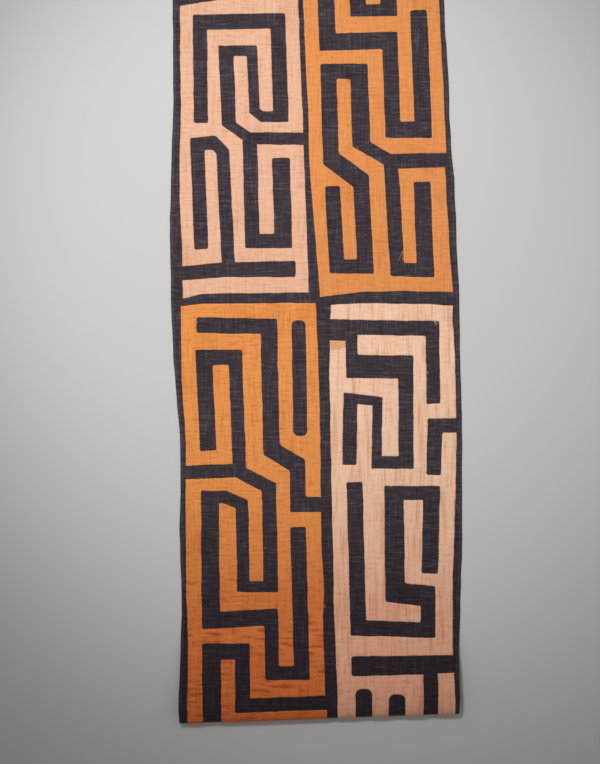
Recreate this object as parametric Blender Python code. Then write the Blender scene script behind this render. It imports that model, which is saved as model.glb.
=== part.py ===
"""Kuba raffia cloth, laid out flat with its lower end turned under itself.

A long dark ground cloth with a narrow folded hem carries five applique panels. Each panel is one piece of
raffia cloth with labyrinth slots cut through it, so that the dark ground shows. Metres, +Z up: the cloth lies
on z = 0 with its upper end towards +Y, and the origin is under the middle of the whole.

The tables are in centimetres on the flat cloth: across, from the cloth's centre line, with right positive,
and down, from the edge of the upper hem.
"""

import math
from bisect import bisect_right
from collections import namedtuple

import bmesh
import bpy
from mathutils import Matrix, Vector

CM = 0.01
MM = 0.001

# The layers, from the cloth's back
GROUND_THICK = 1.0 * MM
HEM_THICK = 1.6 * MM
HEM_WIDE = 7.0 * MM
SEAM_GAP = 0.3 * MM
PANEL_LOW = GROUND_THICK + SEAM_GAP
PANEL_HIGH = PANEL_LOW + 1.0 * MM
CUTTER_SPARE = 2.0 * MM

# The turned-under end: a long rise, a soft loop and a short tail that lies on the surface
LOOP_START = 160.8 * CM
RISE_LONG = 17.0 * CM
LOOP_DEEP = 26.0 * MM
LOOP_HALF_HIGH = 12.5 * MM
TAIL_LONG = 12.0 * CM
FOLD_SLANT = 0.0355
RISE_STEPS = 10
LOOP_STEPS = 14

# The ground's uneven long edges
Edge = namedtuple("Edge", "down left right")
GROUND_EDGES = [
    Edge(0, -28.8, 24.8),
    Edge(20, -28.6, 25.6),
    Edge(40, -28.5, 26.6),
    Edge(50, -28.8, 27.0),
    Edge(56, -29.0, 27.6),
    Edge(65, -29.2, 28.0),
    Edge(80, -29.0, 28.6),
    Edge(90, -28.6, 28.8),
    Edge(100, -27.9, 29.0),
    Edge(106, -27.2, 29.2),
    Edge(120, -27.1, 29.2),
    Edge(126, -27.3, 29.2),
    Edge(140, -26.8, 28.9),
    Edge(150, -27.0, 28.5),
    Edge(160, -27.4, 28.6),
    Edge(167, -27.2, 28.4),
    Edge(174, -26.4, 27.6),
]
EDGE_STEP = 4.0

# A panel is an outline of (across, down) with slots. A slot is a route of (across, down, wide), where wide is
# the width of the leg that starts there, and its last row repeats the width. A route that leaves the panel
# opens at its edge. The corners are rounded by hand cutting, by a share of the leg's width.
Slot = namedtuple("Slot", "end_round route")
Panel = namedtuple("Panel", "name colour outline slots")
SQUARISH = 0.12
ROUNDED = 0.34
BEND_ROUND = 0.11
ROUND_STEPS = 3
STRAIGHT_ON = math.sin(math.radians(15))
SAME_POINT = 0.01 * MM

CREAM = (0.80, 0.56, 0.38, 1)
ORANGE = (0.68, 0.27, 0.07, 1)
CHARCOAL = (0.05, 0.04, 0.05, 1)
CLOTH_ROUGHNESS = 0.9

CREAM_UPPER = Panel(
    "cream_upper",
    CREAM,
    [
        (-27.2, 21.2), (-19.2, 20.0), (-3.6, 19.2), (-3.0, 33.4), (-2.4, 50.0), (-1.9, 66.0), (-1.4, 78.5),
        (-11.2, 78.6), (-22.8, 78.8), (-26.6, 79.7), (-26.8, 69.0), (-27.3, 59.0), (-27.0, 40.0),
    ],
    [
        Slot(SQUARISH, [
            (-23.0, 44.6, 2.8), (-23.2, 24.5, 3.1), (-7.6, 24.2, 3.0), (-7.0, 43.4, 2.1), (-10.8, 43.4, 1.9),
            (-12.3, 42.2, 2.1), (-12.8, 30.2, 2.1), (-18.0, 30.2, 2.9), (-17.4, 44.8, 2.1),
            (-13.2, 47.7, 2.4), (0.0, 47.8, 2.4),
        ]),
        Slot(SQUARISH, [(-13.2, 48.0, 2.9), (-12.7, 68.2, 2.9), (-6.5, 68.2, 3.5), (-7.0, 51.6, 3.5)]),
        Slot(SQUARISH, [(-30.0, 75.0, 2.7), (-18.8, 74.0, 3.2), (-4.1, 73.8, 3.2)]),
        Slot(SQUARISH, [
            (-17.5, 73.6, 2.6), (-18.6, 50.4, 2.4), (-20.4, 48.6, 2.7), (-23.7, 48.9, 2.8),
            (-22.9, 69.9, 2.8),
        ]),
    ],
)
ORANGE_UPPER = Panel(
    "orange_upper",
    ORANGE,
    [
        (-3.4, 3.2), (23.4, 3.2), (24.6, 20.0), (25.4, 35.0), (26.1, 50.0), (25.8, 53.6), (26.7, 69.4),
        (27.4, 78.4), (18.1, 78.2), (9.8, 78.4), (3.8, 79.0), (0.9, 79.4), (0.0, 69.4), (-1.2, 54.0),
        (-1.6, 41.4), (-2.6, 20.0),
    ],
    [
        Slot(SQUARISH, [
            (20.5, 22.0, 3.4), (21.5, 46.0, 3.2), (15.4, 46.0, 3.1), (14.8, 28.1, 3.4), (2.3, 28.5, 3.3),
            (1.6, 7.6, 3.2), (14.0, 7.6, 3.2), (14.6, 22.1, 2.4), (8.4, 22.1, 3.2), (8.0, 13.0, 3.2),
        ]),
        Slot(SQUARISH, [
            (29.0, 52.0, 2.9), (15.0, 52.3, 2.5), (9.1, 48.9, 3.6), (8.6, 34.3, 3.0), (2.5, 34.3, 3.2),
            (3.0, 51.8, 3.7), (9.0, 56.2, 3.2), (9.9, 73.3, 2.8), (4.2, 73.3, 3.0), (3.3, 57.3, 3.0),
        ]),
        Slot(SQUARISH, [(15.0, 52.4, 2.9), (16.3, 73.9, 2.7), (21.9, 74.1, 3.4), (21.2, 56.4, 3.4)]),
    ],
)
ORANGE_LOWER = Panel(
    "orange_lower",
    ORANGE,
    [
        (-27.0, 81.2), (-22.8, 80.8), (-7.8, 80.6), (0.0, 80.6), (0.5, 92.6), (0.9, 107.6), (1.1, 127.6),
        (1.6, 138.6), (1.4, 143.4), (1.8, 158.6), (2.2, 162.2), (2.2, 165.9), (-25.6, 166.9),
        (-25.5, 148.6), (-25.9, 139.4), (-26.1, 116.0), (-26.0, 108.6), (-26.9, 96.0),
    ],
    [
        Slot(SQUARISH, [
            (-23.9, 85.0, 3.1), (-9.4, 85.3, 3.3), (-8.9, 110.0, 3.4), (-3.7, 113.0, 3.1), (-3.6, 120.9, 3.0),
            (3.0, 120.9, 3.0),
        ]),
        Slot(ROUNDED, [(-3.5, 84.1, 2.8), (-3.1, 107.2, 2.8)]),
        Slot(SQUARISH, [
            (-21.5, 110.2, 3.3), (-22.4, 91.5, 3.0), (-16.1, 91.5, 2.7), (-15.3, 114.4, 2.6),
            (-9.4, 117.4, 2.9), (-9.0, 137.3, 2.2), (-14.5, 137.3, 2.5), (-14.8, 120.8, 2.5),
            (-18.3, 119.4, 2.5), (-21.2, 119.4, 3.6), (-21.0, 144.1, 3.3), (-9.0, 143.4, 2.8),
            (-8.7, 154.6, 2.7), (-2.8, 154.6, 3.1), (-3.6, 125.4, 3.1),
        ]),
        Slot(SQUARISH, [(-29.0, 114.6, 2.7), (-15.6, 114.1, 2.7)]),
        Slot(SQUARISH, [
            (-20.6, 165.4, 3.7), (-20.9, 150.3, 3.2), (-14.7, 150.3, 3.0), (-14.6, 161.0, 2.8),
            (4.0, 160.3, 2.8),
        ]),
    ],
)
CREAM_LOWER = Panel(
    "cream_lower",
    CREAM,
    [
        (2.9, 81.0), (9.1, 80.7), (23.1, 80.8), (27.4, 81.2), (27.3, 84.3), (27.8, 91.0), (28.1, 107.0),
        (28.0, 116.0), (27.4, 134.4), (27.3, 148.6), (27.7, 161.0), (27.6, 165.0), (4.4, 165.8),
        (4.2, 157.0), (3.5, 140.0), (3.5, 132.0), (3.1, 119.0), (2.7, 95.0), (2.8, 88.4),
    ],
    [
        Slot(SQUARISH, [(0.0, 85.4, 3.0), (23.3, 85.7, 2.7), (23.5, 100.8, 2.7)]),
        Slot(SQUARISH, [(0.0, 86.0, 4.2), (7.0, 86.0, 4.2)]),
        Slot(SQUARISH, [
            (7.1, 86.0, 2.3), (7.2, 93.3, 4.6), (18.0, 93.4, 3.0), (18.0, 112.5, 2.5), (12.1, 112.5, 2.0),
            (12.3, 100.3, 1.9), (6.9, 99.7, 2.8), (6.7, 113.0, 2.8),
        ]),
        Slot(SQUARISH, [(30.0, 105.1, 2.8), (23.8, 105.1, 3.0), (23.5, 115.0, 3.0)]),
        Slot(SQUARISH, [
            (7.7, 116.4, 3.2), (8.5, 145.6, 3.1), (22.4, 146.0, 3.0), (22.4, 139.2, 4.2), (15.8, 138.5, 3.9),
            (15.6, 118.6, 2.8), (23.1, 118.6, 3.3), (22.8, 134.7, 3.3),
        ]),
        Slot(SQUARISH, [(30.0, 152.7, 3.4), (22.8, 152.9, 4.0), (7.1, 153.3, 4.0)]),
        Slot(SQUARISH, [(22.8, 153.2, 2.9), (22.9, 163.9, 2.9)]),
        Slot(ROUNDED, [(9.5, 157.7, 3.3), (9.5, 164.4, 3.3)]),
        Slot(ROUNDED, [(16.1, 158.8, 3.3), (16.1, 164.1, 3.3)]),
    ],
)
ORANGE_TOP = Panel(
    "orange_top",
    ORANGE,
    [(-27.4, 3.2), (-4.4, 3.2), (-3.8, 17.2), (-19.6, 18.0), (-27.2, 19.2)],
    [Slot(SQUARISH, [(-22.8, 14.4, 3.0), (-22.8, 7.2, 3.0), (-8.8, 7.2, 3.0), (-8.6, 13.2, 3.0)])],
)
PANELS = [CREAM_UPPER, ORANGE_UPPER, ORANGE_LOWER, CREAM_LOWER, ORANGE_TOP]


def clear_scene():
    for old in list(bpy.data.objects):
        bpy.data.objects.remove(old)


def cloth_material(name, colour):
    material = bpy.data.materials.new(name)
    material.use_nodes = True
    shader = material.node_tree.nodes["Principled BSDF"]
    shader.inputs["Base Color"].default_value = colour
    shader.inputs["Roughness"].default_value = CLOTH_ROUGHNESS
    shader.inputs["Metallic"].default_value = 0.0
    return material


def flat_place(across, down):
    """A point of the flat cloth, in metres, with down running towards -Y."""
    return Vector((across * CM, -down * CM, 0))


def ease(share):
    return share * share * (3 - 2 * share)


# The ground's outline


def edge_at(down):
    """(left, right) of the ground at one distance down, eased from row to row of its table."""
    low = max(i for i, row in enumerate(GROUND_EDGES[:-1]) if row.down <= down)
    above, below = GROUND_EDGES[low], GROUND_EDGES[low + 1]
    share = ease(min(1.0, (down - above.down) / (below.down - above.down)))
    left = above.left + share * (below.left - above.left)
    right = above.right + share * (below.right - above.right)
    return left, right


def ground_outline(length):
    """The ground's flat outline, round from its upper right corner, for a cloth of this length in cm."""
    steps = round(length / EDGE_STEP)
    downs = [length * i / steps for i in range(steps + 1)]
    right_side = [(edge_at(down)[1], down) for down in downs]
    left_side = [(edge_at(down)[0], down) for down in downs]
    return right_side + left_side[::-1]


# Flat plates and the slots cut through them


def plate(bm, corners, low, high):
    """A flat closed plate with this outline from low to high. Returns its upper face."""
    bottom = bm.faces.new([bm.verts.new(corner + Vector((0, 0, low))) for corner in corners])
    grown = bmesh.ops.extrude_face_region(bm, geom=[bottom], use_keep_orig=True)["geom"]
    raised = [part for part in grown if isinstance(part, bmesh.types.BMVert)]
    bmesh.ops.translate(bm, verts=raised, vec=(0, 0, high - low))
    bmesh.ops.recalc_face_normals(bm, faces=bm.faces[:])
    return next(part for part in grown if isinstance(part, bmesh.types.BMFace))


def corner_offset(before, after, half_before, half_after):
    """From a point of a route to the slot's left side there, between legs of these half widths."""
    turn = before.x * after.y - before.y * after.x
    if abs(turn) > STRAIGHT_ON:
        return (after * half_before - before * half_after) / turn
    across = Vector((-before.y - after.y, before.x + after.x, 0))
    return across.normalized() * (half_before + half_after) / 2


def slot_corners(slot):
    """The slot's corners down its left side and back up its right, each with its rounding radius."""
    points = [flat_place(across, down) for across, down, wide in slot.route]
    steps = [(b - a).normalized() for a, b in zip(points, points[1:])]
    halves = [wide * CM / 2 for across, down, wide in slot.route[:-1]]
    left, right = [], []
    for i, point in enumerate(points):
        before, after = max(i - 1, 0), min(i, len(steps) - 1)
        offset = corner_offset(steps[before], steps[after], halves[before], halves[after])
        share = slot.end_round if before == after else BEND_ROUND
        radius = share * 2 * min(halves[before], halves[after])
        left.append((point + offset, radius))
        right.append((point - offset, radius))
    return left + right[::-1]


def slot_cutter(name, slot):
    """A closed bar in the shape of a slot, tall enough to cut right through a panel."""
    bm = bmesh.new()
    corners = [(bm.verts.new(place), radius) for place, radius in slot_corners(slot)]
    bm.faces.new([vert for vert, radius in corners])
    for vert, radius in corners:
        bmesh.ops.bevel(
            bm,
            geom=[vert],
            offset=radius,
            offset_type="OFFSET",
            segments=ROUND_STEPS,
            profile=0.5,
            affect="VERTICES",
            material=-1,
        )
    outline = [vert.co.copy() for vert in bm.faces[:][0].verts]
    bm.clear()
    plate(bm, outline, PANEL_LOW - CUTTER_SPARE, PANEL_HIGH + CUTTER_SPARE)
    return add_object(name, bm)


def add_object(name, bm):
    mesh = bpy.data.meshes.new(name)
    bm.to_mesh(mesh)
    bm.free()
    obj = bpy.data.objects.new(name, mesh)
    bpy.context.scene.collection.objects.link(obj)
    return obj


def cut_slots(obj, slots):
    """Cuts each slot through a flat panel and keeps the result as the panel's own mesh."""
    cutters = []
    for i, slot in enumerate(slots):
        cutter = slot_cutter(f"{obj.name}_slot_{i}", slot)
        cut = obj.modifiers.new(cutter.name, "BOOLEAN")
        cut.operation = "DIFFERENCE"
        cut.solver = "EXACT"
        cut.object = cutter
        cutters.append(cutter)
    bpy.context.view_layer.update()
    graph = bpy.context.evaluated_depsgraph_get()
    cut_mesh = bpy.data.meshes.new_from_object(obj.evaluated_get(graph))
    obj.modifiers.clear()
    obj.data = cut_mesh
    for cutter in cutters:
        bpy.data.objects.remove(cutter)


# The section of the turned-under end, which every layer shares


def fold_section():
    """Stations of the cloth's back down its length: each one's length so far, and its (down, height)."""
    top = HEM_THICK + 2 * LOOP_HALF_HIGH
    line = [(0.0, 0.0)]
    for i in range(RISE_STEPS + 1):
        share = i / RISE_STEPS
        line.append((LOOP_START - RISE_LONG * (1 - share), top * ease(share)))
    for i in range(1, LOOP_STEPS + 1):
        turn = math.pi * (0.5 - i / LOOP_STEPS)
        line.append((
            LOOP_START + LOOP_DEEP * math.cos(turn),
            HEM_THICK + LOOP_HALF_HIGH * (1 + math.sin(turn)),
        ))
    line.append((LOOP_START - TAIL_LONG, HEM_THICK))
    lengths = [0.0]
    for a, b in zip(line, line[1:]):
        lengths.append(lengths[-1] + math.dist(a, b))
    return lengths, [Vector(point) for point in line]


def section_normals(line):
    """The mitred normal at each station, towards the cloth's face."""
    steps = [(b - a).normalized() for a, b in zip(line, line[1:])]
    normals = [Vector((-step.y, step.x)) for step in steps]
    found = []
    for i in range(len(line)):
        before = normals[max(i - 1, 0)]
        after = normals[min(i, len(normals) - 1)]
        found.append((before + after) / (1 + before.dot(after)))
    return found


SECTION_LENGTHS, SECTION_LINE = fold_section()
SECTION_NORMALS = section_normals(SECTION_LINE)


def laid_place(flat):
    """Where a point of the flat cloth lies once the lower end is turned under along its slanted fold."""
    slant = FOLD_SLANT * flat.x
    length = min(max(slant - flat.y, 0.0), SECTION_LENGTHS[-1])
    i = min(bisect_right(SECTION_LENGTHS, length), len(SECTION_LENGTHS) - 1)
    share = (length - SECTION_LENGTHS[i - 1]) / (SECTION_LENGTHS[i] - SECTION_LENGTHS[i - 1])
    start = SECTION_LINE[i - 1] + SECTION_NORMALS[i - 1] * flat.z
    end = SECTION_LINE[i] + SECTION_NORMALS[i] * flat.z
    down, height = start.lerp(end, share)
    if i == 1:
        down = slant - flat.y
    return Vector((flat.x, slant - down, height))


def lay_down(obj):
    """Creases the flat mesh at each station of the section and moves its points onto it."""
    bm = bmesh.new()
    bm.from_mesh(obj.data)
    for length in SECTION_LENGTHS[1:-1]:
        bmesh.ops.bisect_plane(
            bm,
            geom=bm.verts[:] + bm.edges[:] + bm.faces[:],
            dist=SAME_POINT,
            plane_co=(0, -length, 0),
            plane_no=(-FOLD_SLANT, 1, 0),
        )
    for vert in bm.verts:
        vert.co = laid_place(vert.co)
    bmesh.ops.recalc_face_normals(bm, faces=bm.faces[:])
    bm.to_mesh(obj.data)
    bm.free()


# The pieces


def make_ground():
    """The ground cloth: a thin plate whose rim is the folded hem."""
    length = SECTION_LENGTHS[-1] - FOLD_SLANT * GROUND_EDGES[-1].right * CM
    bm = bmesh.new()
    corners = [flat_place(*point) for point in ground_outline(length / CM)]
    face = plate(bm, corners, 0.0, HEM_THICK)
    bmesh.ops.inset_individual(bm, faces=[face], thickness=HEM_WIDE, use_even_offset=True)
    middle = bmesh.ops.extrude_discrete_faces(bm, faces=[face])["faces"][0]
    bmesh.ops.translate(bm, verts=middle.verts[:], vec=(0, 0, GROUND_THICK - HEM_THICK))
    ground = add_object("ground_cloth", bm)
    ground.data.materials.append(cloth_material("charcoal raffia", CHARCOAL))
    lay_down(ground)
    return ground


def make_panel(panel):
    """An applique panel: a thin plate with its slots cut through, laid on the ground cloth."""
    bm = bmesh.new()
    corners = [flat_place(*point) for point in panel.outline]
    plate(bm, corners, PANEL_LOW, PANEL_HIGH)
    obj = add_object(panel.name, bm)
    cut_slots(obj, panel.slots)
    obj.data.materials.clear()
    obj.data.materials.append(cloth_material(f"{panel.name} raffia", panel.colour))
    lay_down(obj)
    return obj


def centre_over_origin(pieces):
    """Moves the pieces together, so that the origin is under the middle of their box."""
    points = [vert.co for piece in pieces for vert in piece.data.vertices]
    middle = [(min(p[i] for p in points) + max(p[i] for p in points)) / 2 for i in range(2)]
    for piece in pieces:
        piece.data.transform(Matrix.Translation((-middle[0], -middle[1], 0)))


clear_scene()
cloth = [make_ground()] + [make_panel(panel) for panel in PANELS]
centre_over_origin(cloth)
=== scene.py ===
# %% [markdown]
# A raffia cloth with labyrinth panels
# The real cloth is a long strip of dark raffia. Cream and orange panels with winding slots are sewn on it. It
# could be one flat plane with a painted pattern, but then no edge would catch the light. So we start from
# plain solids that give every size, and dress each one with a finer sheet of the same cut.

# %% Load the solids
import math
import random
from bisect import bisect_right
from collections import namedtuple

import bmesh
import bpy
from mathutils import Matrix, Vector, noise


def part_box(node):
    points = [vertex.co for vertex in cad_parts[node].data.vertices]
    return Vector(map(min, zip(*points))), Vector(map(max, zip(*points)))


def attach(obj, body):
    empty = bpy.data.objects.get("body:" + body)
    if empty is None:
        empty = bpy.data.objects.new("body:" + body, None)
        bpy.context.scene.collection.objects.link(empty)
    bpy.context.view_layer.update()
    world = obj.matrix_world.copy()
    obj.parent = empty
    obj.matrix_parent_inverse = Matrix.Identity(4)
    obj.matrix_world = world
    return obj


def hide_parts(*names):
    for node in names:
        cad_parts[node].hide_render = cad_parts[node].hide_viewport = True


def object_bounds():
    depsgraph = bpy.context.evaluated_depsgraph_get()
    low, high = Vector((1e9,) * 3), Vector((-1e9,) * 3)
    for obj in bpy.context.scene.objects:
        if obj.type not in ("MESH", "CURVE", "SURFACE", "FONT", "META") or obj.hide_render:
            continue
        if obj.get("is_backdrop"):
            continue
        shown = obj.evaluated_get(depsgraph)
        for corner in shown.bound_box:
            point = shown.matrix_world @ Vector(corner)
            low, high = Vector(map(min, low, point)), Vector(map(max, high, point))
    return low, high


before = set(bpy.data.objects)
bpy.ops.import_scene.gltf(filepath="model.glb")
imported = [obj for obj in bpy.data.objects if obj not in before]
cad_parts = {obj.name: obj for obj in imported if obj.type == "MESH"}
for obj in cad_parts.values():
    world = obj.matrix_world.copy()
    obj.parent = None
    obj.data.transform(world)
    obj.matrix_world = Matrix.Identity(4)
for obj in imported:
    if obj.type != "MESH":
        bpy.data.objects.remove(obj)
cad_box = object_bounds()
CM = 0.01
MM = 0.001
UPPER_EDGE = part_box("ground_cloth")[1].y
print("nodes", sorted(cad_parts), "upper edge at", round(UPPER_EDGE, 4))

# %% [markdown]
# The turned-under end
# The lower end of the cloth is turned under itself in a soft loop. The loop could be posed with an armature
# or simulated, but a section drawn by a formula is exact, and every layer can share it. The section is a list
# of stations down the cloth: a long rise, half an ellipse, and a short tail that lies on the surface.

# %% The section as stations
LOOP_START = 160.8 * CM
RISE_LONG = 17.0 * CM
LOOP_DEEP = 26.0 * MM
LOOP_HALF_HIGH = 12.5 * MM
TAIL_LONG = 12.0 * CM
FOLD_SLANT = 0.0355
HEM_THICK = 1.6 * MM
LAYERS_THICK = 2.5 * MM
# Steps of the rise and of the loop, in the solids and in the finer sheets
CAD_STEPS, SHEET_STEPS = (10, 14), (20, 28)


def ease(share):
    share = min(max(share, 0.0), 1.0)
    return share * share * (3 - 2 * share)


class Section:
    """The fold's section: stations of the cloth's back as (down, height), with lengths and face normals."""

    def __init__(self, rise_steps, loop_steps):
        top = HEM_THICK + 2 * LOOP_HALF_HIGH
        line = [(0.0, 0.0)]
        for i in range(rise_steps + 1):
            share = i / rise_steps
            line.append((LOOP_START - RISE_LONG * (1 - share), top * ease(share)))
        for i in range(1, loop_steps + 1):
            turn = math.pi * (0.5 - i / loop_steps)
            height = HEM_THICK + LOOP_HALF_HIGH * (1 + math.sin(turn))
            line.append((LOOP_START + LOOP_DEEP * math.cos(turn), height))
        line.append((LOOP_START - TAIL_LONG, HEM_THICK))
        self.line = [Vector(point) for point in line]
        self.lengths = [0.0]
        for a, b in zip(self.line, self.line[1:]):
            self.lengths.append(self.lengths[-1] + (b - a).length)
        self.steps = [(b - a).normalized() for a, b in zip(self.line, self.line[1:])]
        sides = [Vector((-step.y, step.x)) for step in self.steps]
        self.normals = []
        for i in range(len(line)):
            before, after = sides[max(i - 1, 0)], sides[min(i, len(sides) - 1)]
            self.normals.append((before + after) / (1 + before.dot(after)))

    def laid(self, flat):
        """Where a point of the flat cloth (across, minus down, height) lies."""
        slant = FOLD_SLANT * flat.x
        length = min(max(slant - flat.y, 0.0), self.lengths[-1])
        i = min(bisect_right(self.lengths, length), len(self.lengths) - 1)
        share = (length - self.lengths[i - 1]) / (self.lengths[i] - self.lengths[i - 1])
        start = self.line[i - 1] + self.normals[i - 1] * flat.z
        end = self.line[i] + self.normals[i] * flat.z
        down, height = start.lerp(end, share)
        if i == 1:
            down = slant - flat.y
        return Vector((flat.x, UPPER_EDGE + slant - down, height))

    def flat(self, place):
        """The point of the flat cloth that lies at this place: the way back from laid."""
        slant = FOLD_SLANT * place.x
        spot = Vector((slant - (place.y - UPPER_EDGE), place.z))
        best = None
        for i in range(len(self.steps)):
            a, step = self.line[i], self.steps[i]
            away = spot - a
            high = away.dot(Vector((-step.y, step.x)))
            lean = self.normals[i].dot(step), self.normals[i + 1].dot(step)
            long = self.lengths[i + 1] - self.lengths[i]
            share = (away.dot(step) - lean[0] * high) / (long + (lean[1] - lean[0]) * high)
            outside = max(-share, share - 1, 0) * long + max(-high, high - LAYERS_THICK, 0)
            if best is None or outside < best[0]:
                best = outside, self.lengths[i] + share * long, high
        return Vector((place.x, slant - best[1], best[2]))


cad_section = Section(*CAD_STEPS)
section = Section(*SHEET_STEPS)
print("the cloth is", round(section.lengths[-1], 3), "m long when it is flat")

# %% [markdown]
# Cutting patterns
# A sewer cuts each piece from flat cloth. Its outline could be typed in here again, but then it could drift
# from the solid. Each solid is a thin plate, so we copy it, unfold it, keep only the outline of its back and
# fill that with a few flat faces.

# %% Patterns from the solids
SAME_POINT = 0.02 * MM
BACK_SPARE = 0.15 * MM
FLAT_ANGLE = math.radians(0.5)


def pattern(node):
    """A node's cutting pattern: its back, unfolded, as flat faces in a bmesh."""
    bm = bmesh.new()
    bm.from_mesh(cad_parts[node].data)
    bmesh.ops.remove_doubles(bm, verts=bm.verts[:], dist=SAME_POINT)
    for vert in bm.verts:
        vert.co = cad_section.flat(vert.co)
    low = min(vert.co.z for vert in bm.verts)
    others = [face for face in bm.faces if max(vert.co.z for vert in face.verts) > low + BACK_SPARE]
    bmesh.ops.delete(bm, geom=others, context="FACES")
    for vert in bm.verts:
        vert.co.z = 0
    outline = [edge for edge in bm.edges if edge.is_boundary]
    inside = [edge for edge in bm.edges if not edge.is_boundary]
    bmesh.ops.delete(bm, geom=bm.faces[:], context="FACES_ONLY")
    bmesh.ops.delete(bm, geom=inside, context="EDGES")
    bmesh.ops.triangle_fill(bm, edges=outline, use_beauty=True, normal=(0, 0, 1))
    bmesh.ops.dissolve_limit(
        bm, angle_limit=FLAT_ANGLE, use_dissolve_boundaries=False, verts=bm.verts[:], edges=bm.edges[:]
    )
    bmesh.ops.recalc_face_normals(bm, faces=bm.faces[:])
    if bm.faces[:][0].normal.z < 0:
        bmesh.ops.reverse_faces(bm, faces=bm.faces[:])
    return bm


def span(bm, axis):
    return max(vert.co[axis] for vert in bm.verts) - min(vert.co[axis] for vert in bm.verts)


def flat_area(bm):
    return sum(face.calc_area() for face in bm.faces)


short_panel = pattern("orange_top")
print("the shortest panel is cut", round(span(short_panel, 0), 3), "by", round(span(short_panel, 1), 3), "m")
short_panel.free()

# %% [markdown]
# Hand-cut edges
# The panels were cut and turned under by hand, so no edge is quite straight. A Displace modifier would move
# whole faces, so we divide only the edge into short steps and move those with smooth noise. Insets then make
# rows along the edge, and each row gets its own height, which turns the edge down softly.

# %% An edge that is cut by hand
# How far the blade strays, and over what length
Wobble = namedtuple("Wobble", "far long")
# The noise that moves the edges starts from the clock unless it is seeded
CUT_SEED = 7
noise.seed_set(CUT_SEED)


def cut_by_hand(bm, step, wobbles):
    """Divides the pattern's edge into short steps and moves them as a hand-held blade would."""
    for edge in [edge for edge in bm.edges if edge.is_boundary]:
        cuts = int(edge.calc_length() / step)
        if cuts:
            bmesh.ops.bisect_edges(bm, edges=[edge], cuts=cuts)
    for vert in [vert for vert in bm.verts if vert.is_boundary]:
        start = vert.co.copy()
        for wobble in wobbles:
            shift = noise.noise_vector(start / wobble.long) * wobble.far
            vert.co += Vector((shift.x, shift.y, 0))


print("the blade strays in the same way each time, from seed", CUT_SEED)

# %% Rows along the edge
# How far inward a row lies, how high it is, and how much of the rim tone it shows (a painted highlight on a
# panel's edge, and a lighter hem)
Row = namedtuple("Row", "inward height rim")
PANEL_ROWS = [Row(0.0 * MM, 1.5 * MM, 0.6), Row(0.6 * MM, 2.1 * MM, 1.0), Row(2.2 * MM, 2.4 * MM, 0.0)]
HEM_ROWS = [
    Row(0.0 * MM, 0.55 * MM, 1.0), Row(0.7 * MM, 1.6 * MM, 1.0), Row(6.0 * MM, 1.6 * MM, 0.9),
    Row(7.0 * MM, 1.0 * MM, 0.0),
]


def edge_rows(bm, rows):
    """Insets rows along the edge, and gives each row its height and its share of rim."""
    height = bm.verts.layers.float.new("height")
    rim = bm.verts.layers.float.new("rim")
    inner = bm.faces[:]
    for before, row in zip([rows[0]] + rows, rows):
        if row is not before:
            step = row.inward - before.inward
            bmesh.ops.inset_region(
                bm, faces=inner, thickness=step, use_boundary=True, use_even_offset=False
            )
        for vert in {vert for face in inner for vert in face.verts}:
            vert[height] = row.height
            vert[rim] = row.rim


print("a panel's edge turns down over", round(PANEL_ROWS[-1].inward / MM, 1), "mm")

# %% [markdown]
# A lattice that can bend
# A large flat face can't bend, so a sheet needs small cells. Subdividing would make long thin ones between
# the slots. Slicing with bisect_plane gives even ones, and the cuts across run along the turned-under fold.

# %% Slicing the lattice
LATTICE = 5.6 * MM


def slice_steps(bm, faces, away, apart, first, last):
    """Slices these faces at the middle one of the steps, and then each half at its own steps."""
    if first > last or not faces:
        return
    middle = (first + last) // 2
    edges = list(dict.fromkeys(edge for face in faces for edge in face.edges))
    place = away * (middle * apart / away.length_squared)
    cut = bmesh.ops.bisect_plane(bm, geom=faces + edges, dist=SAME_POINT, plane_co=place, plane_no=away)
    before, beyond = [], []
    for part in cut["geom"]:
        if isinstance(part, bmesh.types.BMFace):
            side = beyond if part.calc_center_median().dot(away) > middle * apart else before
            side.append(part)
    slice_steps(bm, before, away, apart, first, middle - 1)
    slice_steps(bm, beyond, away, apart, middle + 1, last)


def slice_lattice(bm, across):
    """Slices the sheet into small cells, with one set of cuts along the turned-under fold."""
    for away, apart in ((Vector((1, 0, 0)), across), (Vector((-FOLD_SLANT, 1, 0)), LATTICE)):
        reach = [vert.co.dot(away) / apart for vert in bm.verts]
        slice_steps(bm, bm.faces[:], away, apart, math.ceil(min(reach)), math.floor(max(reach)))


print("the cloth is sliced into", round(section.lengths[-1] / LATTICE), "steps along its length")

# %% [markdown]
# Waves and ripples
# No cloth lies dead flat. Long low waves run through every layer together, so that the layers never part or
# cross, and the hems ripple across. They could come from a cloth simulation, but for waves of a millimetre
# plain noise is faster and easy to steer. The tail under the fold is pressed flat by the cloth above it.

# %% The waves of the laid cloth
WAVE_HIGH, WAVE_LONG = 1.1 * MM, 95.0 * MM
PUCKER_HIGH, PUCKER_LONG = 0.35 * MM, 26.0 * MM
HEM_RIPPLE_HIGH, HEM_RIPPLE_LONG = 0.5 * MM, 17.0 * MM
# The hem's ripples are wider than they are long, and grow over a strip of this width
HEM_RIPPLE_WIDER = 4
HEM_STRIP_START, HEM_STRIP_WIDE = 24.5 * CM, 3.0 * CM
# Where each kind of wave reads the noise, so that no kind repeats another
PUCKER_LAYER, HEM_LAYER = 5.0, 9.0
WAVES_END = 4.0 * CM


def swell(high, long, place):
    """Smooth noise between 0 and this height, with lumps about this long."""
    return high * (0.5 + 0.5 * noise.noise(Vector(place) / long))


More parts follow.
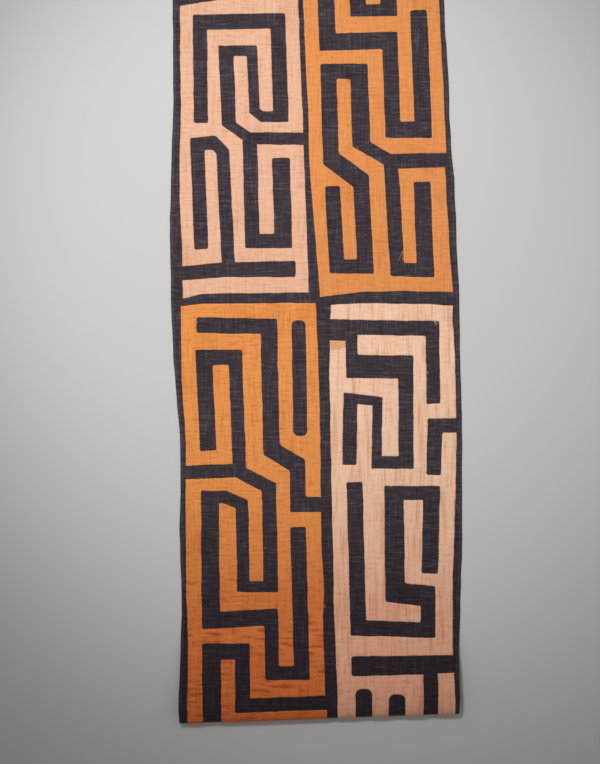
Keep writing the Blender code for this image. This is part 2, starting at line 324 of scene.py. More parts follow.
def wave(flat):
    """How far the whole stack is lifted at a point of the flat cloth."""
    long_wave = swell(WAVE_HIGH, WAVE_LONG, (flat.x, flat.y, 0))
    pucker = swell(PUCKER_HIGH, PUCKER_LONG, (flat.x, flat.y, PUCKER_LAYER))
    near_hem = ease((abs(flat.x) - HEM_STRIP_START) / HEM_STRIP_WIDE)
    across = (flat.x / HEM_RIPPLE_WIDER, flat.y, math.copysign(HEM_LAYER, flat.x))
    ripple = near_hem * swell(HEM_RIPPLE_HIGH, HEM_RIPPLE_LONG, across)
    return (long_wave + pucker + ripple) * (1 - ease((-flat.y - LOOP_START) / WAVES_END))


lifts = [wave(Vector((0, -down * CM, 0))) / MM for down in range(int(LOOP_START / CM))]
print("the waves lift the middle by", round(min(lifts), 1), "to", round(max(lifts), 1), "mm")

# %% [markdown]
# The curled corner
# One cut end of the lower cream panel stands up a little from a slanted crease, and its tan is a painted
# shade. It could be a piece of its own that is rotated, but it is still the same cloth, so a smooth rise
# is enough.

# %% The rise of the curled corner
CURL_LEFT, CURL_RIGHT = 2.2 * CM, 6.4 * CM
CURL_END = 87.6 * CM
CREASE_LEFT, CREASE_RIGHT = 90.5 * CM, 89.5 * CM
CURL_HIGH = 4.5 * MM
# How much of the height is left at its right side
CURL_RIGHT_SHARE = 0.55


def curl(flat):
    """How far the small cut end of the lower cream panel stands up."""
    if not CURL_LEFT < flat.x < CURL_RIGHT or -flat.y < CURL_END:
        return 0.0
    rightward = (flat.x - CURL_LEFT) / (CURL_RIGHT - CURL_LEFT)
    crease = CREASE_LEFT + (CREASE_RIGHT - CREASE_LEFT) * rightward
    rise = ease((crease + flat.y) / (crease - CURL_END))
    return CURL_HIGH * rise * (1 - (1 - CURL_RIGHT_SHARE) * rightward)


curl_middle = Vector(((CURL_LEFT + CURL_RIGHT) / 2, -CURL_END - MM, 0))
print("the curled end's middle stands", round(curl(curl_middle) / MM, 1), "mm up")

# %% [markdown]
# From flat sheet to laid cloth
# A sheet needs a front and a back, and a map on which the weave runs straight. A Solidify modifier could add
# the back, but the edge rows have heights of their own, so we extrude the flat faces and set the two sides.
# The map is the flat sheet itself, taken before it is laid.

# %% Laying a sheet and giving it a back
PRESSED = 0.02 * MM


def laid_on_floor(flat):
    """Where a point lies on the floor: along the section, and no lower than pressed flat."""
    place = section.laid(flat)
    place.z = max(place.z, PRESSED)
    return place


def add_flat_map(bm):
    """Keeps each point's place on the flat cloth as the piece's map."""
    flat_map = bm.loops.layers.uv.new("flat_cloth")
    for face in bm.faces:
        for loop in face.loops:
            loop[flat_map].uv = loop.vert.co.xy


def finish_object(name, bm, material):
    mesh = bpy.data.meshes.new(name)
    bm.to_mesh(mesh)
    bm.free()
    mesh.materials.append(material)
    mesh.shade_smooth()
    obj = bpy.data.objects.new(name, mesh)
    bpy.context.scene.collection.objects.link(obj)
    return obj


def lay_sheet(name, bm, low, material, lifted=None):
    """Gives the flat sheet its heights, its back and its map, and lays it along the section."""
    height = bm.verts.layers.float["height"]
    # How far the curled end stands up, as a share, which the material turns into painted shade
    worn = bm.verts.layers.float.new("worn")
    grown = bmesh.ops.extrude_face_region(bm, geom=bm.faces[:], use_keep_orig=True)["geom"]
    tops = {part for part in grown if isinstance(part, bmesh.types.BMVert)}
    add_flat_map(bm)
    for vert in bm.verts:
        flat = vert.co.copy()
        lift = lifted(flat) if lifted else 0.0
        flat.z = (vert[height] if vert in tops else low) + wave(flat) + lift
        vert[worn] = lift / CURL_HIGH
        vert.co = laid_on_floor(flat)
    bmesh.ops.recalc_face_normals(bm, faces=bm.faces[:])
    return finish_object(name, bm, material)


loop_top = laid_on_floor(Vector((0, -LOOP_START, 0)))
print("the back of the cloth lies", round(loop_top.z / MM, 1), "mm high where the loop starts")

# %% [markdown]
# Shader maths in Python
# Materials are built from nodes, but chains of Math nodes are hard to read. They could be added one by one,
# but a small class that wraps a socket lets an expression such as 0.25 + mask * 0.75 add its own nodes.

# %% A socket that can be added and multiplied
class Shade:
    """A number socket of a material. Python's operators on it add Math nodes."""

    def __init__(self, recipe, socket):
        self.recipe = recipe
        self.socket = socket

    def math(self, operation, *others):
        values = dict(enumerate([self, *others]))
        return self.recipe.add("ShaderNodeMath", {"operation": operation}, values)

    def __add__(self, other):
        return self.math("ADD", other)

    def __radd__(self, other):
        return self.math("ADD", other)

    def __mul__(self, other):
        return self.math("MULTIPLY", other)

    def __rmul__(self, other):
        return self.math("MULTIPLY", other)


print("a Shade answers to", [name for name in vars(Shade) if name.endswith(("add__", "mul__"))])


# %% A recipe that adds every node
def opaque(colour):
    return (*colour, 1.0)


class Recipe:
    """A material's nodes, all added by one method."""

    def __init__(self, name):
        self.material = bpy.data.materials.new(name)
        self.material.use_nodes = True
        self.nodes = self.material.node_tree.nodes
        self.links = self.material.node_tree.links
        self.shader = self.nodes["Principled BSDF"]

    def add(self, kind, settings, values, out=0):
        """Adds a node of this kind, with its settings first, then its sockets' values or links."""
        node = self.nodes.new(kind)
        for name, value in settings.items():
            setattr(node, name, value)
        for key, value in values.items():
            self.join(value, node.inputs[key])
        return Shade(self, node.outputs[out])

    def join(self, value, socket):
        if isinstance(value, Shade):
            self.links.new(value.socket, socket)
        else:
            socket.default_value = value

    def surface(self, **values):
        """Joins each value to the socket of the surface that has its name, with _ for a space."""
        for name, value in values.items():
            self.join(value, self.shader.inputs[name.replace("_", " ")])

    def noise(self, place, stretch, detail):
        """Smooth noise from 0 to 1, with this many lumps for each metre along each way."""
        scaled = self.add("ShaderNodeVectorMath", {"operation": "MULTIPLY"}, {0: place, 1: stretch})
        values = {"Vector": scaled, "Scale": 1.0, "Detail": detail}
        return self.add("ShaderNodeTexNoise", {"noise_dimensions": "3D"}, values)

    def between(self, value, begins, full):
        """0 before a value where it begins, 1 past the one where it is full, and a smooth step between."""
        settings = {"interpolation_type": "SMOOTHSTEP"}
        values = {"Value": value, "From Min": begins, "From Max": full}
        return self.add("ShaderNodeMapRange", settings, values)

    def mix(self, share, first, second):
        """A colour between two colours."""
        return self.add("ShaderNodeMix", {"data_type": "RGBA"}, {0: share, 6: first, 7: second}, out=2)

    def multiplied(self, first, second):
        """Two colours multiplied."""
        settings = {"data_type": "RGBA", "blend_type": "MULTIPLY"}
        return self.add("ShaderNodeMix", settings, {0: 1.0, 6: first, 7: second}, out=2)


print("a Recipe can", [name for name in vars(Recipe) if not name.startswith("_")])

# %% [markdown]
# Woven raffia
# Raffia is woven from flat strips of leaf, so each yarn has its own width and tone. A yarn shows as a short
# fine streak, and where a whole bundle took the dye unevenly there is a broader band. Every streak could be
# painted, but noise stretched along the flat map never repeats and keeps running with the yarns round the
# turned-under end. The sheets also carry two values of their own: "rim" marks the turned edges, which get a
# painted highlight, and the hem, which is lighter; the other marks the curled end, which gets a painted
# shade.

# %% The tones of the five cloths
# "low" is what the lower end of the cloth is multiplied by: painted shade, darker and more saturated towards
# the turned-under end, where the light falls away
Tone = namedtuple("Tone", "base dark light rim low")
TONES = {
    "charcoal": Tone(
        (0.041, 0.029, 0.036), (0.016, 0.011, 0.014), (0.120, 0.098, 0.116), (0.082, 0.066, 0.080),
        (0.52, 0.46, 0.50)
    ),
    "cream": Tone(
        (0.82, 0.465, 0.300), (0.63, 0.285, 0.155), (0.90, 0.58, 0.41), (0.86, 0.50, 0.36),
        (1.0, 1.0, 1.0)
    ),
    "pale_cream": Tone(
        (0.93, 0.590, 0.395), (0.72, 0.350, 0.205), (0.96, 0.70, 0.53), (0.96, 0.62, 0.48),
        (0.91, 0.70, 0.64)
    ),
    "orange": Tone(
        (0.85, 0.305, 0.073), (0.54, 0.140, 0.024), (0.90, 0.40, 0.130), (0.90, 0.40, 0.17),
        (0.87, 0.56, 0.52)
    ),
    "yellow_orange": Tone(
        (0.79, 0.285, 0.080), (0.58, 0.170, 0.038), (0.86, 0.38, 0.140), (0.86, 0.39, 0.17),
        (1.0, 1.0, 1.0)
    ),
}
# Where along the flat cloth the painted shade of the lower end begins and is full
PAINTED_SHADE_LIMITS = -105 * CM, -165 * CM
UNCHANGED = (1.0, 1.0, 1.0)
# The painted shade of the curled end: its tan, how much of it covers the cloth, and how far up it begins and
# is full
CURL_SHADE_TONE, CURL_SHADE_SHARE = (0.757, 0.361, 0.160), 0.75
CURL_SHADE_LIMITS = 0.002, 0.04
print("tones", sorted(TONES))

# %% The marks of the weave
# Lumps for each metre across and along the flat cloth, and how fine their detail is
Streak = namedtuple("Streak", "across along detail")
STREAKS = {
    "warp": Streak(330, 16, 3.0),
    "weft": Streak(20, 340, 3.0),
    "band": Streak(85, 6, 2.0),
    "grain": Streak(420, 420, 1.0),
    "mottle": Streak(52, 185, 3.0),
    "cloud": Streak(11, 9, 2.0),
    "crease": Streak(14, 120, 2.0),
    "crinkle": Streak(26, 125, 3.0),
}
# The values of each noise at which its pale or its dark marks begin to show and show in full
PALE_LIMITS = {"warp": (0.52, 0.72), "weft": (0.54, 0.74), "grain": (0.52, 0.74), "mottle": (0.52, 0.70)}
DARK_LIMITS = {
    "warp": (0.48, 0.28), "weft": (0.46, 0.26), "band": (0.50, 0.74), "grain": (0.48, 0.26),
    "mottle": (0.48, 0.30), "cloud": (0.50, 0.24),
}
# How strongly each kind of mark shows on a cloth, and how deep its bump is
Marks = namedtuple("Marks", "warp weft band crinkle grain bump")
CLOTH_MARKS = {
    "charcoal": Marks(0.42, 0.70, 0.15, 0.15, 0.42, 0.45),
    "cream": Marks(0.45, 0.45, 0.15, 0.05, 0.45, 0.35),
    "pale_cream": Marks(0.75, 0.25, 0.60, 0.30, 0.40, 0.35),
    "orange": Marks(0.45, 0.38, 0.15, 0.90, 0.45, 0.35),
    "yellow_orange": Marks(0.48, 0.35, 0.12, 0.10, 0.42, 0.35),
}
# The mottle follows the grain's strength, and the clouds are the same on every cloth
MOTTLE_OF_GRAIN, CLOUD_STRONG = 0.7, 0.25
# The lower end is crinkled: where that begins and is full along the flat cloth, and where in the noises
LOWER_LIMITS = -126 * CM, -144 * CM
CRINKLE_LIMITS, CRINKLE_CLOUD_LIMITS = (0.48, 0.68), (0.36, 0.58)
# A turned edge shows its rim tone, a painted highlight, at least this much, and in full between its creases
RIM_LEAST, CREASE_LIMITS = 0.25, (0.42, 0.60)
print("kinds of mark", sorted(STREAKS))

# %% The raffia material
YARN_PITCH = 1.3 * MM
CLOTH_ROUGHNESS, ROUGHNESS_SPREAD = 0.86, 0.08
CLOTH_SPECULAR, CLOTH_SHEEN, SHEEN_ROUGHNESS = 0.25, 0.08, 0.5
# How much of the bump's depth comes from the weave and from each kind of mark
BUMP_DEEP = 0.6 * MM
WEAVE_LIFT, WEFT_LIFT, WARP_LIFT, GRAIN_LIFT = 0.10, 0.5, 0.35, 0.25
CREASE_LIFT, CRINKLE_LIFT = 1.2, 1.6


def over_and_under(across, along):
    """The over and under of the yarns, from -1 to 1."""
    turns = 2 * math.pi / YARN_PITCH
    return (across * turns).math("SINE") * (along * turns).math("SINE")


def shown_marks(recipe, streaks, strengths, limits):
    """The sum of a cloth's pale or dark marks, each with its own strength."""
    shown = [recipe.between(streaks[kind], *limits[kind]) * strengths[kind] for kind in limits]
    return sum(shown[1:], shown[0])


def raffia(name, tone, marks):
    recipe = Recipe(name)
    place = recipe.add("ShaderNodeUVMap", {"uv_map": "flat_cloth"}, {})
    across = recipe.add("ShaderNodeSeparateXYZ", {}, {0: place}, out="X")
    along = recipe.add("ShaderNodeSeparateXYZ", {}, {0: place}, out="Y")
    rim = recipe.add("ShaderNodeAttribute", {"attribute_name": "rim"}, {}, out="Fac")
    worn = recipe.add("ShaderNodeAttribute", {"attribute_name": "worn"}, {}, out="Fac")
    streaks = {
        kind: recipe.noise(place, (streak.across, streak.along, 1), streak.detail)
        for kind, streak in STREAKS.items()
    }
    strengths = marks._asdict() | {"mottle": marks.grain * MOTTLE_OF_GRAIN, "cloud": CLOUD_STRONG}
    crinkled = (
        recipe.between(along, *LOWER_LIMITS)
        * recipe.between(streaks["crinkle"], *CRINKLE_LIMITS)
        * recipe.between(streaks["cloud"], *CRINKLE_CLOUD_LIMITS)
    )
    pale = shown_marks(recipe, streaks, strengths, PALE_LIMITS)
    dark = shown_marks(recipe, streaks, strengths, DARK_LIMITS) + crinkled * marks.crinkle
    # The rim tone is a painted highlight along the panels' turned edges, and makes the hem lighter
    edge = rim * (RIM_LEAST + (1 - RIM_LEAST) * recipe.between(streaks["crease"], *CREASE_LIMITS))
    colour = recipe.mix(pale.math("MINIMUM", 1.0), opaque(tone.base), opaque(tone.light))
    colour = recipe.mix(edge, colour, opaque(tone.rim))
    colour = recipe.mix(dark.math("MINIMUM", 1.0), colour, opaque(tone.dark))
    # The lower end is multiplied by its tone's "low": painted shade that darkens it towards the turned-under
    # end
    painted_shade = recipe.mix(recipe.between(along, *PAINTED_SHADE_LIMITS), opaque(UNCHANGED), opaque(tone.low))
    colour = recipe.multiplied(colour, painted_shade)
    # The curled end is painted tan: painted shade on the lifted flap
    colour = recipe.mix(recipe.between(worn, *CURL_SHADE_LIMITS) * CURL_SHADE_SHARE, colour, opaque(CURL_SHADE_TONE))
    height = (
        over_and_under(across, along) * WEAVE_LIFT
        + streaks["weft"] * WEFT_LIFT
        + streaks["warp"] * WARP_LIFT
        + streaks["grain"] * GRAIN_LIFT
        + rim * streaks["crease"] * CREASE_LIFT
        + crinkled * CRINKLE_LIFT
    )
    bump = recipe.add("ShaderNodeBump", {}, {"Strength": marks.bump, "Distance": BUMP_DEEP, "Height": height})
    recipe.surface(
        Base_Color=colour, Normal=bump, Roughness=CLOTH_ROUGHNESS + streaks["grain"] * ROUGHNESS_SPREAD,
        Specular_IOR_Level=CLOTH_SPECULAR, Sheen_Weight=CLOTH_SHEEN, Sheen_Roughness=SHEEN_ROUGHNESS,
    )
    return recipe.material


cloths = {name: raffia(f"{name}_raffia", tone, CLOTH_MARKS[name]) for name, tone in TONES.items()}
print("materials", sorted(cloths))

# %% [markdown]
# The ground cloth
# The dark ground has a narrow hem all round, which is its own edge folded over and sewn down. The hem could
# be a strip of its own, but it is the same cloth, so it is made by the rows. They start at the outer edge,
# climb on the doubled hem, and step down to the single cloth 7 mm in. While the cloth is flat we also mark
# where its stitches go.

# %% Marks for the stitches
STITCH_APART = 5.2 * MM
# A place on the flat edge and the way into the cloth
Mark = namedtuple("Mark", "place inward")


def outline_loops(bm):
    """Every outline of the flat sheet, as its boundary loops in order."""
    seen = set()
    bm.edges.index_update()
    for edge in bm.edges:
        if not edge.is_boundary or edge.index in seen:
            continue
        loop = edge.link_loops[0]
        chain = []
        while loop.edge.index not in seen:
            seen.add(loop.edge.index)
            chain.append(loop)
            loop = loop.link_loop_next
            while not loop.edge.is_boundary:
                loop = loop.link_loop_radial_next.link_loop_next
        yield chain


def edge_marks(bm, spacing):
    """Marks at even steps round every outline."""
    marks = []
    for chain in outline_loops(bm):
        walked = spacing
        for loop in chain:
            a, b = loop.vert.co, loop.link_loop_next.vert.co
            walked += (b - a).length
            if walked >= spacing:
                walked = 0.0
                way = (b - a).normalized()
                marks.append(Mark((a + b) / 2, Vector((-way.y, way.x, 0))))
    return marks


print("stitches are", round(STITCH_APART / MM, 1), "mm apart")

# %% Cut and lay the ground
# A kind of sheet: the steps and wobbles of its edge, how wide its lattice's cells are, its rows along the
# edge and the height of its back
Cut = namedtuple("Cut", "step wobbles across rows low")
HEMMED_CUT = Cut(
    4.5 * MM, [Wobble(0.1 * MM, 11.0 * MM), Wobble(1.1 * MM, 38.0 * MM)], 2 * LATTICE, HEM_ROWS, 0.02 * MM
)
Sheet = namedtuple("Sheet", "piece flat area marks")


def make_sheet(node, cut, cloth, lifted=None):
    """Cuts one node's sheet, lays it and rides it on the body."""
    bm = pattern(node)
    cut_by_hand(bm, cut.step, cut.wobbles)
    marks = edge_marks(bm, STITCH_APART)
    flat, area = (span(bm, 0), span(bm, 1)), flat_area(bm)
    edge_rows(bm, cut.rows)
    slice_lattice(bm, cut.across)
    piece = lay_sheet(f"{node}_sheet", bm, cut.low, cloths[cloth], lifted)
    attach(piece, "root")
    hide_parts(node)
    print(piece.name, len(piece.data.polygons), "faces,", [round(side, 3) for side in flat], round(area, 4))
    return Sheet(piece, flat, area, marks)


ground = make_sheet("ground_cloth", HEMMED_CUT, "charcoal")

# %% [markdown]
# The applique panels
# Each panel is one piece of cloth with its slots cut out, laid on the ground and sewn down along every edge.
# The slots could be painted on, but a real one shows the ground below it and the step of its edge. The edge
# is turned under with the needle, so it rises from the ground in a small round step.

# %% Cut and lay the panels
PANEL_CUT = Cut(
    2.6 * MM, [Wobble(0.6 * MM, 11.0 * MM), Wobble(1.1 * MM, 38.0 * MM)], LATTICE, PANEL_ROWS, 1.2 * MM
)
Dress = namedtuple("Dress", "node cloth slot held lifted")
PANELS = [
    Dress("cream_upper", "cream", "cream_raffia", "laid", None),
    Dress("orange_upper", "yellow_orange", "orange_raffia", "laid", None),
    Dress("orange_lower", "orange", "orange_raffia", "folded", None),
    Dress("cream_lower", "pale_cream", "cream_raffia", "folded", curl),
    Dress("orange_top", "orange", "orange_raffia", "laid", None),
]
panels = {}
for dress in PANELS:
    sheet = make_sheet(dress.node, PANEL_CUT, dress.cloth, dress.lifted)
    panels[dress.node] = sheet

# %% [markdown]
# Overcast stitches
# The panels are held by short slanting stitches over their edges, in yarn of the panel's own colour. There
# are thousands, so one small thread is modelled and Geometry Nodes puts a copy on every mark. The copies are
# made real while the cloth is flat, and are then laid with the same section as the sheets.

# %% One stitch
THREAD = 0.2 * MM
THREAD_SIDES, THREAD_STEPS = 4, 5
STITCH_REACH = 1.5 * MM
STITCH_HIGH = 1.6 * MM


def bent_thread(thick, radius, angle):
    """A thread bent into an arc, which starts at the origin, heads up Z and bends towards X."""
    bm = bmesh.new()
    bmesh.ops.create_circle(bm, cap_ends=True, segments=THREAD_SIDES, radius=thick)
    bmesh.ops.spin(
        bm, geom=bm.faces[:], cent=(radius, 0, 0), axis=(0, 1, 0), angle=angle, steps=THREAD_STEPS,
        use_duplicate=False,
    )
    return bm


def stitch_object(name, high):
    """A short arched thread along X, which dips into the cloth at both ends."""
    bm = bent_thread(THREAD, STITCH_REACH, math.pi)
    bmesh.ops.translate(bm, verts=bm.verts[:], vec=(-STITCH_REACH, 0, 0))
    bmesh.ops.scale(bm, verts=bm.verts[:], vec=(1, 1, high / STITCH_REACH))
    bmesh.ops.recalc_face_normals(bm, faces=bm.faces[:])
    mesh = bpy.data.meshes.new(name)
    bm.to_mesh(mesh)
    bm.free()
    return bpy.data.objects.new(name, mesh)


overcast_stitch = stitch_object("overcast", STITCH_HIGH)
print("one stitch has", len(overcast_stitch.data.polygons), "faces")


# %% Copies on the marks
def copies_group(template):
    """Geometry Nodes that put the template on every point, turned by the point's own angle, as real mesh."""
    group = bpy.data.node_groups.new(f"{template.name}_copies", "GeometryNodeTree")
    group.interface.new_socket("Geometry", in_out="INPUT", socket_type="NodeSocketGeometry")
    group.interface.new_socket("Geometry", in_out="OUTPUT", socket_type="NodeSocketGeometry")
    nodes, links = group.nodes, group.links
    points = nodes.new("NodeGroupInput")
    result = nodes.new("NodeGroupOutput")
    source = nodes.new("GeometryNodeObjectInfo")
    source.inputs["Object"].default_value = template
    angle = nodes.new("GeometryNodeInputNamedAttribute")
    angle.data_type = "FLOAT"
    angle.inputs["Name"].default_value = "angle"
    turned = nodes.new("ShaderNodeCombineXYZ")
    copies = nodes.new("GeometryNodeInstanceOnPoints")
    real = nodes.new("GeometryNodeRealizeInstances")
    links.new(angle.outputs["Attribute"], turned.inputs["Z"])
    links.new(points.outputs[0], copies.inputs["Points"])
    links.new(source.outputs["Geometry"], copies.inputs["Instance"])
    links.new(turned.outputs[0], copies.inputs["Rotation"])
    links.new(copies.outputs[0], real.inputs[0])
    links.new(real.outputs[0], result.inputs[0])
    return group


overcast = copies_group(overcast_stitch)
print(overcast.name, "has", len(overcast.nodes), "nodes")

# %% [markdown]
# Loose yarn ends
# Here and there a yarn has worked out of an edge and lies on the cloth. A hair system could scatter such ends
# everywhere, but the real cloth has only a few, in places of their own, so they are listed one by one.

# %% The loose ends
# The node they come from, where their root is, which way they turn in degrees (0 is to the right and 90 up
# the cloth), their length and how many strands there are
LooseEnd = namedtuple("LooseEnd", "node across down turn long strands")
LOOSE_ENDS = [
    LooseEnd("orange_upper", 17.2 * CM, 70.2 * CM, 268, 22 * MM, 2),
    LooseEnd("orange_upper", 17.3 * CM, 77.7 * CM, 265, 5 * MM, 1),
    LooseEnd("orange_upper", 14.6 * CM, 73.4 * CM, 330, 5 * MM, 2),
    LooseEnd("orange_upper", 8.1 * CM, 49.3 * CM, 300, 6 * MM, 1),
    LooseEnd("cream_lower", 23.6 * CM, 84.1 * CM, 305, 11 * MM, 2),
    LooseEnd("cream_lower", 22.3 * CM, 94.3 * CM, 280, 5 * MM, 1),
    LooseEnd("cream_lower", 14.9 * CM, 117.0 * CM, 290, 4 * MM, 2),
    LooseEnd("ground_cloth", 28.0 * CM, 120.8 * CM, 302, 16 * MM, 2),
    LooseEnd("ground_cloth", 21.7 * CM, 124.9 * CM, -14, 13 * MM, 2),
    LooseEnd("ground_cloth", 27.2 * CM, 154.2 * CM, 200, 9 * MM, 1),
    LooseEnd("ground_cloth", -13.2 * CM, 39.0 * CM, 25, 17 * MM, 1),
    LooseEnd("orange_lower", -10.4 * CM, 129.6 * CM, 330, 4 * MM, 1),
    LooseEnd("orange_lower", -4.8 * CM, 133.4 * CM, 340, 3 * MM, 1),
    LooseEnd("orange_lower", 1.6 * CM, 140.9 * CM, 290, 8 * MM, 2),
]
STRAND_THICK = 0.45 * MM
# How much a strand bends at most and at least, and the fan between the strands of one end, all in radians
STRAND_BEND, STRAND_LEAST_SHARE, STRAND_FAN = 0.3, 0.5, 0.42
# How high the ends lie, on the ground and on a panel
GROUND_END_HIGH, PANEL_END_HIGH = 1.5 * MM, 2.5 * MM
SEWING_SEED = 7
chance = random.Random(SEWING_SEED)


def add_strands(bm, end):
    """Lays a loose end's strands on the flat cloth as a small fan of bent threads."""
    high = GROUND_END_HIGH if end.node == "ground_cloth" else PANEL_END_HIGH
    for i in range(end.strands):
        bend = STRAND_BEND * chance.uniform(STRAND_LEAST_SHARE, 1.0)
        strand = bent_thread(STRAND_THICK, end.long / bend, bend)
        flat_down = Matrix.Rotation(math.radians(-90), 4, "X")
        fan = (i - (end.strands - 1) / 2) * STRAND_FAN
        turned = Matrix.Rotation(math.radians(end.turn - 90) + fan, 4, "Z")
        strand.transform(Matrix.Translation((end.across, -end.down, high)) @ turned @ flat_down)
        mesh = bpy.data.meshes.new("strand")
        strand.to_mesh(mesh)
        strand.free()
        bm.from_mesh(mesh)
        bpy.data.meshes.remove(mesh)


print(len(LOOSE_ENDS), "loose ends,", sum(end.strands for end in LOOSE_ENDS), "strands")

# %% [markdown]
# Yarn and sewing
# The stitches are twisted raffia yarn in the panel's own colour, a little darker here and there. Every stitch
# strays and turns slightly, as it does when it is sewn by hand. The marks become points, the points become
# stitches, and all of a panel's yarn is one piece that lies with the panel.

# %% The yarn's material
YARN_LUMPS = 220
YARN_DARKER = 0.72
YARN_LIMITS = 0.35, 0.65
YARN_ROUGHNESS, YARN_ROUGHNESS_SPREAD = 0.7, 0.15


def yarn_material(name, colour):
    """Plain twisted yarn with a little change of tone from stitch to stitch."""
    recipe = Recipe(name)
    place = recipe.add("ShaderNodeUVMap", {"uv_map": "flat_cloth"}, {})
    tone = recipe.noise(place, (YARN_LUMPS, YARN_LUMPS, 1), detail=1.0)
    darker = tuple(part * YARN_DARKER for part in colour)
    mixed = recipe.mix(recipe.between(tone, *YARN_LIMITS), opaque(darker), opaque(colour))
    recipe.surface(Base_Color=mixed, Roughness=YARN_ROUGHNESS + tone * YARN_ROUGHNESS_SPREAD)
    return recipe.material


yarns = {name: yarn_material(f"{name}_yarn", tone.base) for name, tone in TONES.items()}
print("yarns", sorted(yarns))

# %% Sew the panels
STITCH_INWARD = 0.35 * MM
STITCH_BASE = 1.0 * MM
STITCH_LEAN = 0.45
STITCH_STRAY, STITCH_TURN = 0.25 * MM, 0.25


def mark_points(name, marks, height, inward, lean, material):
    """A point for each mark, where its stitch lies, with the angle at which the stitch is turned."""
    bm = bmesh.new()
    angle = bm.verts.layers.float.new("angle")
    for mark in marks:
        place = mark.place + mark.inward * (inward + chance.uniform(-STITCH_STRAY, STITCH_STRAY))
        vert = bm.verts.new((place.x, place.y, height))
        turn = lean + chance.uniform(-STITCH_TURN, STITCH_TURN)
        vert[angle] = math.atan2(mark.inward.y, mark.inward.x) + turn
    return finish_object(name, bm, material)


def lay_yarn(name, bm, material):
    """Lays yarn that was made on the flat cloth, gives it the flat map and rides it on the body."""
    add_flat_map(bm)
    for vert in bm.verts:
        vert.co = laid_on_floor(vert.co + Vector((0, 0, wave(vert.co))))
    bmesh.ops.recalc_face_normals(bm, faces=bm.faces[:])
    piece = finish_object(name, bm, material)
    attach(piece, "root")
    print(piece.name, len(piece.data.polygons), "faces")
    return piece


def sew(node, marks, group, height, inward, lean, material):
    """Sews one copy on each mark, adds the node's loose ends and lays them all with the cloth."""
    name = f"{node}_yarn"
    points = mark_points(f"{name}_points", marks, height, inward, lean, material)
    points.modifiers.new("copies", "NODES").node_group = group
    bpy.context.view_layer.update()
    copies = bpy.data.meshes.new_from_object(points.evaluated_get(bpy.context.evaluated_depsgraph_get()))
    bpy.data.objects.remove(points)
    bm = bmesh.new()
    bm.from_mesh(copies)
    bpy.data.meshes.remove(copies)
    for end in LOOSE_ENDS:
        if end.node == node:
            add_strands(bm, end)
    return lay_yarn(name, bm, material)


for dress in PANELS:
    sheet = panels[dress.node]
    sewn = sew(
        dress.node, sheet.marks, overcast, STITCH_BASE, STITCH_INWARD, STITCH_LEAN, yarns[dress.cloth]
    )

# %% [markdown]
# The hem's running stitch
# The hem is held by a running stitch just inside its folded edge. It could be drawn on the material, but up
# close the thread stands a little proud. The same thread is used, lying along the hem.

# %% Sew the hem
HEM_STITCH_INWARD = 5.2 * MM
HEM_STITCH_BASE = 1.45 * MM
HEM_STITCH_HIGH = 0.45 * MM
HEM_YARN = (0.16, 0.12, 0.125)
running = copies_group(stitch_object("running", HEM_STITCH_HIGH))
hem_sewn = sew(
    "ground_cloth", ground.marks, running, HEM_STITCH_BASE, HEM_STITCH_INWARD, math.pi / 2,
    yarn_material("hem_yarn", HEM_YARN),
)

# %% [markdown]
# Floor, light and camera
# The cloth is seen from straight above on a plain pale floor. Area lights would light it evenly, but one soft
# spot from above and to the left, with a wide blend, lets the light fall away gently towards the turned-under
# end, as in the photograph.

# %% The floor
FLOOR_WIDE = 30.0
FLOOR_TONE, FLOOR_ROUGHNESS = (0.62, 0.61, 0.60), 0.9

bm = bmesh.new()
bmesh.ops.create_grid(bm, x_segments=1, y_segments=1, size=FLOOR_WIDE / 2)
floor_recipe = Recipe("pale_floor")
floor_recipe.surface(Base_Color=opaque(FLOOR_TONE), Roughness=FLOOR_ROUGHNESS)
floor = finish_object("floor", bm, floor_recipe.material)
floor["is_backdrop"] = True
print("the floor is", FLOOR_WIDE, "m wide")

# %% The light
KEY_PLACE, KEY_AIM = Vector((-0.6, 0.95, 2.5)), Vector((-0.03, 0.163, 0))
# The radius of its pool where it is aimed, how softly the pool ends, and the lamp's own radius and power
KEY_POOL, KEY_BLEND, KEY_RADIUS, KEY_POWER = 1.12, 0.85, 0.3, 235
WORLD_STRENGTH = 0.26

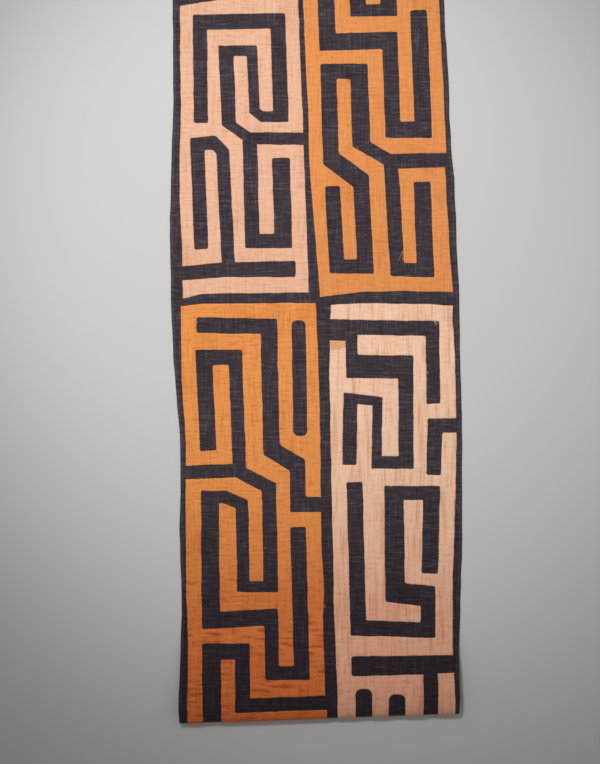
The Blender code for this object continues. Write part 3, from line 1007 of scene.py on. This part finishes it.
key_data = bpy.data.lights.new("key", "SPOT")
key_data.spot_size = 2 * math.atan(KEY_POOL / (KEY_AIM - KEY_PLACE).length)
key_data.spot_blend = KEY_BLEND
key_data.shadow_soft_size = KEY_RADIUS
key_data.energy = KEY_POWER
key = bpy.data.objects.new("key", key_data)
key.location = KEY_PLACE
key.rotation_euler = (KEY_AIM - KEY_PLACE).to_track_quat("-Z", "Y").to_euler()
bpy.context.scene.collection.objects.link(key)
world = bpy.data.worlds.new("studio")
world.use_nodes = True
world.node_tree.nodes["Background"].inputs["Color"].default_value = (1, 1, 1, 1)
world.node_tree.nodes["Background"].inputs["Strength"].default_value = WORLD_STRENGTH
bpy.context.scene.world = world
bpy.context.scene.view_settings.view_transform = "Standard"
print("the key light's cone is", round(math.degrees(key_data.spot_size)), "degrees")

# %% The camera
# The photo's size in pixels, the column of the cloth's middle line, and the row of its upper edge, which lies
# above the photo
PHOTO_WIDE, PHOTO_HIGH = 600, 764
MIDDLE_COLUMN, UPPER_EDGE_ROW = 316, -100
PIXEL = 2.0 * MM
CAMERA_HIGH = 4.5
SENSOR = 36.0

view_across = (PHOTO_WIDE / 2 - MIDDLE_COLUMN) * PIXEL
view_along = UPPER_EDGE - (PHOTO_HIGH / 2 - UPPER_EDGE_ROW) * PIXEL
camera_data = bpy.data.cameras.new("camera")
camera_data.sensor_width = SENSOR
camera_data.lens = SENSOR * CAMERA_HIGH / (PHOTO_HIGH * PIXEL)
camera = bpy.data.objects.new("camera", camera_data)
camera.location = (view_across, view_along, CAMERA_HIGH)
bpy.context.scene.collection.objects.link(camera)
bpy.context.scene.camera = camera
print("the camera sees", round(PHOTO_HIGH * PIXEL, 3), "m of the cloth from", CAMERA_HIGH, "m above")

# %% [markdown]
# The two boxes
# The dressed cloth follows its solids, so its box should be close to theirs. The dressed cloth has to stay
# as large as its solids. One box could be measured by hand, but printing both side by side lets anyone
# compare them.

# %% Print both boxes and finish
scene_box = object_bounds()
sizes = {name: [list(corner) for corner in box] for name, box in (("cad", cad_box), ("scene", scene_box))}
print("boxes", sizes)
